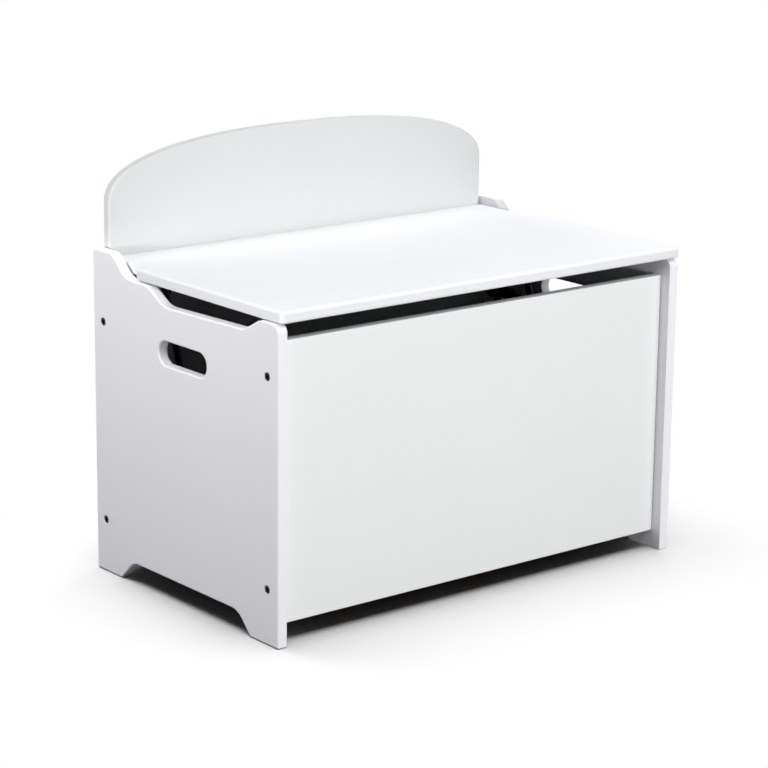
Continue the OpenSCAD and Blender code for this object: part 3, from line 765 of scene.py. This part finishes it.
class TOYBOX_OT_side_panels(BoardStep, Operator):
    """Builds the two scooped side panels with softly rounded outlines and hand slots"""

    bl_idname = "toybox.side_panels"
    bl_label = "Side Panels"

    def execute(self, context):
        radius = context.scene.toy_box_boards.panel_round
        for side in SIDES:
            self.round_board(f"{side}_side_panel", f"{side}_side_board", "side_paint", X, radius, 4)
        return {"FINISHED"}


class TOYBOX_OT_inset_panels(BoardStep, Operator):
    """Builds the front and back panels that stand between the side panels"""

    bl_idname = "toybox.inset_panels"
    bl_label = "Front and Back Panels"

    def execute(self, context):
        sizes = context.scene.toy_box_boards
        for end in ("front", "back"):
            self.round_board(
                f"{end}_panel", f"{end}_board", "front_paint", Y, sizes.inset_round, 3,
                sizes.panel_joint,
            )
        return {"FINISHED"}


class TOYBOX_OT_backrest(BoardStep, Operator):
    """Builds the arched backrest"""

    bl_idname = "toybox.backrest"
    bl_label = "Backrest"

    def execute(self, context):
        radius = context.scene.toy_box_boards.backrest_round
        self.round_board("backrest", "backrest_board", "backrest_paint", Y, radius, 4)
        return {"FINISHED"}


class TOYBOX_OT_floor_panel(BoardStep, Operator):
    """Builds the faced floor panel and the bare softwood cleats under it"""

    bl_idname = "toybox.floor_panel"
    bl_label = "Floor Panel and Cleats"

    def execute(self, context):
        sizes = context.scene.toy_box_boards
        self.round_board("floor_panel", "floor_board", "floor_paint", Z, sizes.inset_round, 2)
        for end in ("front", "rear"):
            self.round_board(f"{end}_cleat", f"{end}_strip", "raw_wood", Y, sizes.cleat_round, 2)
        return {"FINISHED"}


class TOYBOX_OT_lid(Step, Operator):
    """Builds the lid, which is also the seat, with its rear corners notched round the ears"""

    bl_idname = "toybox.lid"
    bl_label = "Lid"

    def execute(self, context):
        sizes = context.scene.toy_box_boards
        low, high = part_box("lid")
        copy = cad_copy("lid")
        near_rear, past_tail = high.y - 0.02, 0.004  # The tail is the part between the ears
        narrow = max(v.co.x for v in copy.verts if v.co.y > near_rear)
        ear = max(v.co.y for v in copy.verts if v.co.x > narrow + past_tail)
        copy.free()

        bm = bmesh.new()
        right = [(high.x, low.y), (high.x, ear), (narrow, ear), (narrow, high.y)]
        plan = [(low.x, low.y), *right, (-narrow, high.y), (-narrow, ear), (low.x, ear)]
        base = bmesh.ops.contextual_create(
            bm, geom=[bm.verts.new((x, y, low.z)) for x, y in plan]
        )["faces"]
        grown = bmesh.ops.extrude_face_region(bm, geom=base)["geom"]
        raised = [g for g in grown if isinstance(g, bmesh.types.BMVert)]
        bmesh.ops.translate(bm, vec=(0, 0, high.z - low.z), verts=raised)
        bmesh.ops.recalc_face_normals(bm, faces=bm.faces)

        def upright(edge):
            return abs(edge.verts[0].co.z - edge.verts[1].co.z) > CLOSE

        def in_notch(edge):
            places = [vert.co for vert in edge.verts]
            return all(abs(abs(p.x) - narrow) < CLOSE and abs(p.y - ear) < CLOSE for p in places)

        rounded(bm, [e for e in bm.edges if upright(e) and not in_notch(e)], sizes.lid_corner, 7)
        rounded(bm, [e for e in bm.edges if upright(e) and in_notch(e)], sizes.lid_notch, 5)
        upper, under = (high.z, sizes.lid_top_round, 6), (low.z, sizes.lid_under_round, 4)
        for z, radius, segments in (upper, under):
            rim = [e for e in sharp_edges(bm) if all(abs(v.co.z - z) < CLOSE for v in e.verts)]
            rounded(bm, rim, radius, segments)
        mark_rims(bm, Z)
        add_piece(bm, "lid_board", "lid", "lid_paint", "lid")
        return {"FINISHED"}


# ---- Fasteners ---------------------------------------------------------------------------


class TOYBOX_OT_panel_bolts(Step, Operator):
    """Builds the black panel bolts with hexagon sockets, sunk in the side panels"""

    bl_idname = "toybox.panel_bolts"
    bl_label = "Panel Bolts"

    def execute(self, context):
        sizes = context.scene.toy_box_fittings

        def bolt(length, width):
            radius, rim = width / 2, sizes.rim
            shank, thick, plain, pitch = 0.003, 0.0045, 0.018, 0.001
            rings = [
                (radius - rim * 1.6, 0), (radius - rim * 0.5, -rim * 0.35), (radius, -rim * 1.4),
                (radius, -thick), (shank, -thick),
            ]
            z = -thick - plain
            rings.append((shank, z))
            while z - pitch > -length:
                rings += [(shank * 0.84, z - pitch / 2), (shank, z - pitch)]
                z -= pitch
            rings.append((shank * 0.8, -length))
            recess = ring_points(sizes.socket / 2 / math.cos(math.pi / 6), 6)
            return driven_head(recess, rings, sizes.facets, depth=0.0027, taper=0.97)

        def inwards(box):
            return (-outwards_x(box)[0], 0, 0)

        fasteners("panel_bolts", inwards, bolt, "case_bolts", "case", "dark_steel")
        return {"FINISHED"}


class TOYBOX_OT_barrel_nuts(Step, Operator):
    """Builds the slotted barrel nuts, and finishes the dowels beside the bolts"""

    bl_idname = "toybox.barrel_nuts"
    bl_label = "Barrel Nuts and Dowels"

    def execute(self, context):
        sizes = context.scene.toy_box_fittings

        def nut(length, width):
            radius, rim = width / 2, sizes.rim
            rings = [(radius - rim, 0), (radius, -rim), (radius, -length + rim), (radius - rim, -length)]
            half, wide = radius * 0.78, 0.0006
            slot = [(half, -wide, 0), (half, wide, 0), (-half, wide, 0), (-half, -wide, 0)]
            return driven_head(slot, rings, sizes.facets, depth=0.0014, taper=0.98)

        fasteners("barrel_nuts", outwards_y, nut, "case_nuts", "case", "zinc_steel")
        dress("dowels", "raw_wood")
        return {"FINISHED"}


class TOYBOX_OT_wood_screws(Step, Operator):
    """Builds the cross-recessed wood screws of the backrest, cleats, floor and stays"""

    bl_idname = "toybox.wood_screws"
    bl_label = "Wood Screws"

    def execute(self, context):
        sizes = context.scene.toy_box_fittings

        def screw(length, width):
            rings = screw_rings(length, width, sizes.rim * 0.5, sizes.thread)
            cross = cross_points(sizes.recess)
            return driven_head(cross, rings, sizes.facets, depth=0.0017, taper=0.6)

        for node, body, slot, towards in (
            ("backrest_screws", "case", "zinc_steel", lambda box: (0, -1, 0)),
            ("cleat_screws", "case", "zinc_steel", outwards_y),
            ("floor_screws", "case", "zinc_steel", lambda box: (0, 0, -1)),
            ("stay_screws", "case", "dark_steel", outwards_x),
            ("bracket_screws", "lid", "dark_steel", lambda box: (0, 0, 1)),
        ):
            fasteners(node, towards, screw, f"{node}_crossed", body, slot)
        return {"FINISHED"}


class TOYBOX_OT_pivots(Step, Operator):
    """Finishes the lid's steel pivot pins and their nylon bushes"""

    bl_idname = "toybox.pivots"
    bl_label = "Lid Pivots"

    def execute(self, context):
        for side in SIDES:
            dress(f"{side}_pivot_pin", "zinc_steel")
            dress(f"{side}_pivot_bush", "nylon")
        return {"FINISHED"}


class TOYBOX_OT_bumpers(Step, Operator):
    """Builds the domed clear bumpers under the lid"""

    bl_idname = "toybox.bumpers"
    bl_label = "Lid Bumpers"

    def execute(self, context):
        boxes = solid_boxes("lid_bumpers")
        size = boxes[0][1] - boxes[0][0]
        pad = turned_solid(dome_rings(size.x / 2, size.z, 0.5), 36)
        mirror(pad, (1, 1, -1))
        places = [
            Matrix.Translation(((lo.x + hi.x) / 2, (lo.y + hi.y) / 2, lo.z)) for lo, hi in boxes
        ]
        pads = placed(pad, places)
        add_piece(pads, "bumper_domes", "lid", "clear_rubber", "lid_bumpers", sharp=60)
        return {"FINISHED"}


# ---- Lid stays ---------------------------------------------------------------------------


class TOYBOX_OT_stays(Step, Operator):
    """Builds the friction stays: base plates, fluted housings, levers, links and brackets"""

    bl_idname = "toybox.stays"
    bl_label = "Lid Stays"

    def plate(self, node, name, body, bent=False):
        """A copy of a steel plate with tumbled edges and, if bent, a round outer bend."""
        sizes = bpy.context.scene.toy_box_fittings
        bm = cad_copy(node)
        if bent:
            shortest = 0.01
            top = max(v.co.z for v in bm.verts)
            along = [
                e
                for e in sharp_edges(bm, 60)
                if e.calc_length() > shortest
                and all(abs(v.co.z - top) < CLOSE for v in e.verts)
                and abs(e.verts[0].co.x - e.verts[1].co.x) < CLOSE
            ]
            outer = max(abs(e.verts[0].co.x) for e in along)
            bend = [e for e in along if abs(e.verts[0].co.x) > outer - CLOSE]
            rounded(bm, bend, sizes.bend_round, 5)
        rounded(bm, sharp_edges(bm, 60), sizes.steel_round, 2)
        add_piece(bm, name, body, "dark_steel", node)

    def turned_parts(self, side):
        """The elbow's rivet with its two domed heads, and the crossed screw of the shaft."""
        sizes = bpy.context.scene.toy_box_fittings

        def rivet(length, width):
            thick, shank = sizes.rivet_head, 0.0025
            head = dome_rings(width / 2, thick, 0.8)
            far = [(r, -length - z) for r, z in reversed(head)]
            return turned_solid([*head, (shank, -thick), (shank, thick - length), *far], sizes.facets)

        def pan_screw(length, width):
            radius, thick, shank = width / 2, 0.002, 0.0015
            rings = [
                (radius * 0.72, 0), (radius * 0.90, -thick * 0.22), (radius, -thick * 0.62),
                (radius, -thick), (shank, -thick), (shank, -length + shank * 0.4),
                (shank * 0.7, -length),
            ]
            cross = cross_points(sizes.recess)
            return driven_head(cross, rings, sizes.facets, depth=0.0014, taper=0.6)

        elbow, shaft, lever = f"{side}_elbow_rivet", f"{side}_shaft_screw", f"{side}_lever"
        fasteners(f"{side}_stay_rivet", outwards_x, rivet, elbow, lever, "dark_steel")
        fasteners(f"{side}_lever_screw", outwards_x, pan_screw, shaft, lever, "dark_steel")

    def housing(self, side):
        """A friction housing: a fluted cap with a stepped face round the shaft."""
        flutes = bpy.context.scene.toy_box_fittings.flutes
        low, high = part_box("left_stay_cap")
        radius, height = (high.y - low.y) / 2, high.x - low.x
        bore, wall, slope, groove = 0.00505, 0.002, 0.0016, 0.0007
        profile = [
            (radius, 0), (radius, height - slope), (radius - 0.0005, height - 0.0006),
            (radius - slope, height), (radius * 0.72, height), (radius * 0.70, height - groove),
            (radius * 0.62, height - groove), (radius * 0.60, height), (bore + 0.0022, height),
            (bore + 0.0018, height - 0.0004), (bore + 0.0003, height - 0.0004),
            (bore, height - groove), (bore, height - wall), (radius - wall, height - wall),
            (radius - wall, 0),
        ]
        bm = bmesh.new()
        edges = edge_loop(bm, [(r, 0, z) for r, z in profile])
        bmesh.ops.spin(
            bm, geom=bm.verts[:] + edges, cent=(0, 0, 0), axis=(0, 0, 1), angle=2 * math.pi,
            steps=flutes * 4, use_merge=True,
        )
        bmesh.ops.remove_doubles(bm, verts=bm.verts, dist=CLOSE / 10)
        bmesh.ops.recalc_face_normals(bm, faces=bm.faces)
        step = 2 * math.pi / flutes

        def in_flute(face):
            middle = face.calc_center_median()
            outside = abs(face.normal.z) < 0.1 and math.hypot(*middle.xy) > radius - 0.0004
            return outside and math.atan2(middle.y, middle.x) % step < step / 2

        bmesh.ops.inset_region(
            bm, faces=[face for face in bm.faces if in_flute(face)], thickness=0.0004,
            depth=-0.0006, use_even_offset=True,
        )
        place = Matrix.Translation((low.x, (low.y + high.y) / 2, (low.z + high.z) / 2))
        turn = Matrix.Rotation(math.pi / 2, 4, "Y")
        bmesh.ops.transform(bm, matrix=place @ turn, verts=bm.verts)
        if side == "right":
            mirror(bm, (-1, 1, 1))
        add_piece(bm, f"{side}_stay_housing", "case", "grey_plastic", f"{side}_stay_cap", sharp=30)

    def execute(self, context):
        for side in SIDES:
            self.plate(f"{side}_stay_base", f"{side}_stay_plate", "case")
            self.housing(side)
            self.plate(f"{side}_stay_lever", f"{side}_lever_bar", f"{side}_lever")
            self.plate(f"{side}_stay_link", f"{side}_link_bar", f"{side}_link")
            self.plate(f"{side}_stay_bracket", f"{side}_lid_bracket", "lid", bent=True)
            self.turned_parts(side)
            dress(f"{side}_stay_rotor", "dark_steel")
        return {"FINISHED"}


# ---- Stage -------------------------------------------------------------------------------


class TOYBOX_OT_stage(Step, Operator):
    """Sets up the floor, the softboxes, the even room light and the camera"""

    bl_idname = "toybox.stage"
    bl_label = "Stage"

    def softbox(self, name, power, place, aim, width, height, flagged=(), only=()):
        """A softbox that faces a point, flagged off the floor and some pieces, or for a few."""
        lamp = bpy.data.lights.new(name, "AREA")
        lamp.shape = "RECTANGLE"
        lamp.size, lamp.size_y = width, height
        lamp.energy = power
        made = new_object(name, lamp)
        made.location = place
        made.rotation_euler = (Vector(aim) - Vector(place)).to_track_quat("-Z", "Y").to_euler()
        chosen = bpy.data.collections.new(name)
        for piece in only or ("studio_floor", *flagged):
            chosen.objects.link(bpy.data.objects[piece])
        for member in chosen.collection_objects:
            member.light_linking.link_state = "INCLUDE" if only else "EXCLUDE"
        made.light_linking.receiver_collection = chosen

    def white_behind(self, strength):
        """World that is white to the eye and in reflections, and dim as a light."""
        world = bpy.data.worlds.new("studio_room")
        bpy.context.scene.world = world
        world.use_nodes = True
        tree = world.node_tree
        tree.nodes.clear()
        glow = spread(tree, sight(tree), strength, 1.0, 0, 1)
        back = shader_node(tree, "ShaderNodeBackground", {"Color": WHITE, "Strength": glow})
        out = shader_node(tree, "ShaderNodeOutputWorld")
        tree.links.new(back.outputs[0], out.inputs[0])

    def floor_sheet(self, reach):
        """Pale floor that keeps the box's shadow near it and is white further out."""
        far, drop, dim, pale = 12, 0.0002, (0.1, 0.1, 0.1, 1), (0.93, 0.93, 0.93, 1)
        bm = bmesh.new()
        bmesh.ops.create_circle(bm, cap_ends=True, segments=96, radius=far)
        bmesh.ops.translate(bm, vec=(0, 0, -drop), verts=bm.verts)
        material = bpy.data.materials.new("studio_floor")
        material.use_nodes = True
        tree = material.node_tree
        tree.nodes.clear()
        place = shader_node(tree, "ShaderNodeTexCoord").outputs["Object"]
        vectors = {"kind": "ShaderNodeVectorMath"}
        edge = (*cad_bounds[1].xy, 1)
        beyond = maths(tree, "SUBTRACT", maths(tree, "ABSOLUTE", place, **vectors), edge, **vectors)
        beyond = maths(tree, "MAXIMUM", beyond, (0, 0, 0), **vectors)
        away = maths(tree, "LENGTH", beyond, output="Value", **vectors)
        fade = spread(tree, away, 0, 1, 0, reach, interpolation_type="SMOOTHSTEP")
        seen = sight(tree)
        matt = shader_node(tree, "ShaderNodeBsdfDiffuse", {"Color": mixed(tree, seen, dim, pale)})
        glow = shader_node(tree, "ShaderNodeEmission", {"Color": WHITE, "Strength": 1.0})
        blend = {0: product(tree, fade, seen), 1: matt.outputs[0], 2: glow.outputs[0]}
        both = shader_node(tree, "ShaderNodeMixShader", blend)
        out = shader_node(tree, "ShaderNodeOutputMaterial")
        tree.links.new(both.outputs[0], out.inputs[0])
        floor = new_object("studio_floor", new_mesh("studio_floor", bm, material))

    def stand_camera(self, stage):
        """Camera at its place, looking along its heading, dipped and rolled."""
        a, e = stage.heading, stage.dip
        ahead = Vector((math.sin(a) * math.cos(e), math.cos(a) * math.cos(e), -math.sin(e)))
        level = Vector((math.cos(a), -math.sin(a), 0))
        over = level.cross(ahead)
        across = level * math.cos(stage.roll) + over * math.sin(stage.roll)
        up = over * math.cos(stage.roll) - level * math.sin(stage.roll)
        turn = Matrix((across, up, -ahead)).transposed().to_4x4()
        camera = bpy.data.cameras.new("camera")
        camera.lens = stage.lens
        camera.sensor_width = 36
        made = new_object("camera", camera)
        made.matrix_world = Matrix.Translation(stage.eye) @ turn
        bpy.context.scene.camera = made

    def execute(self, context):
        stage = context.scene.toy_box_stage
        context.scene.view_settings.view_transform = "Standard"
        self.floor_sheet(stage.shade_reach)
        inside = ("back_board", "floor_board", "rear_strip")
        far_side = ("front_board", "right_side_board")
        upper = ("lid_board", "backrest_board")
        off_rear = {"flagged": ("lid_board", "left_side_board", "front_board", "floor_board")}
        on_back = {"only": (*upper, "back_board", "left_side_board", "right_side_board")}
        on_lid, on_crest = {"only": upper[:1]}, {"only": upper[1:]}
        on_floor = {"only": ("studio_floor",)}
        panel, level = (0, -0.2, 0.35), (0, -0.2, 0.42)
        for name, place, aim, width, height, links in (
            ("front", (0, -2.2, 2.25), panel, 3.4, 0.7, {"flagged": upper}),
            ("low", (0, -2.2, 0.42), level, 2.9, 0.3, {"flagged": inside + upper}),
            ("lid", (0.2, 0.35, 3.6), level, 2.6, 1.4, on_lid),
            ("brow", (0, -2.2, 0.8), level, 1.6, 0.25, on_lid),
            (
                "side", (-1.45, 0.1, 1.35), (-0.34, 0.1, 0.4), 0.9, 0.5,
                {"flagged": inside + upper + far_side},
            ),
            ("edge", (-1.6, -0.2, 0.5), level, 0.9, 0.2, {"only": upper}),
            ("top", (0.5, -0.1, 2.4), level, 1.4, 1.0, {"flagged": upper[1:]}),
            ("backrest", (0.4, -1.0, 1.6), (0.1, 0.2, 0.6), 3.4, 0.3, on_crest),
            ("rear", (2.3, 1.3, 1.3), panel, 1.4, 0.9, off_rear),
            ("back", (0.3, 2.6, 1.2), panel, 1.4, 0.9, on_back),
            ("floor", (0.2, -0.3, 3), (0.2, -0.3, 0), 3.5, 3.5, on_floor),
            ("ground", (-0.6, 1.2, 1.8), (-0.2, 0, 0), 1.2, 1.2, on_floor),
        ):
            power = getattr(stage, f"{name}_power")
            self.softbox(f"{name}_softbox", power, place, aim, width, height, **links)
        self.white_behind(stage.world_strength)
        self.stand_camera(stage)
        return {"FINISHED"}


# ---- Panel and registration --------------------------------------------------------------

OPERATORS = (
    TOYBOX_OT_side_panels,
    TOYBOX_OT_inset_panels,
    TOYBOX_OT_backrest,
    TOYBOX_OT_floor_panel,
    TOYBOX_OT_lid,
    TOYBOX_OT_panel_bolts,
    TOYBOX_OT_barrel_nuts,
    TOYBOX_OT_wood_screws,
    TOYBOX_OT_pivots,
    TOYBOX_OT_bumpers,
    TOYBOX_OT_stays,
    TOYBOX_OT_stage,
)
GROUPS = {
    "toy_box_boards": ToyBoxBoards,
    "toy_box_fittings": ToyBoxFittings,
    "toy_box_finishes": ToyBoxFinishes,
    "toy_box_stage": ToyBoxStage,
}


class TOYBOX_PT_panel(Panel):
    """Lists the toy box's sizes and colours, and the steps that build it"""

    bl_idname = "TOYBOX_PT_panel"
    bl_label = "Wooden Toy Box"
    bl_space_type = "VIEW_3D"
    bl_region_type = "UI"
    bl_category = "Toy Box"

    def draw(self, context):
        for name, group in GROUPS.items():
            box = self.layout.box()
            box.label(text=group.__doc__)
            for field in group.__annotations__:
                box.prop(getattr(context.scene, name), field)
        for operator in OPERATORS:
            self.layout.operator(operator.bl_idname)


def register():
    """Registers the classes and gives the scene their properties."""
    for group in GROUPS.values():
        bpy.utils.register_class(group)
    for name, group in GROUPS.items():
        setattr(bpy.types.Scene, name, PointerProperty(type=group))
    for operator in OPERATORS:
        bpy.utils.register_class(operator)
    bpy.utils.register_class(TOYBOX_PT_panel)


def unregister():
    """Takes back what register did."""
    bpy.utils.unregister_class(TOYBOX_PT_panel)
    for operator in reversed(OPERATORS):
        bpy.utils.unregister_class(operator)
    for name in GROUPS:
        delattr(bpy.types.Scene, name)
    for group in reversed(GROUPS.values()):
        bpy.utils.unregister_class(group)


def main():
    """Builds the whole box in order."""
    register()
    steps = bpy.ops.toybox
    steps.side_panels()
    steps.inset_panels()
    steps.backrest()
    steps.floor_panel()
    steps.lid()
    steps.panel_bolts()
    steps.barrel_nuts()
    steps.wood_screws()
    steps.pivots()
    steps.bumpers()
    steps.stays()
    steps.stage()


if __name__ == "__main__":
    main()
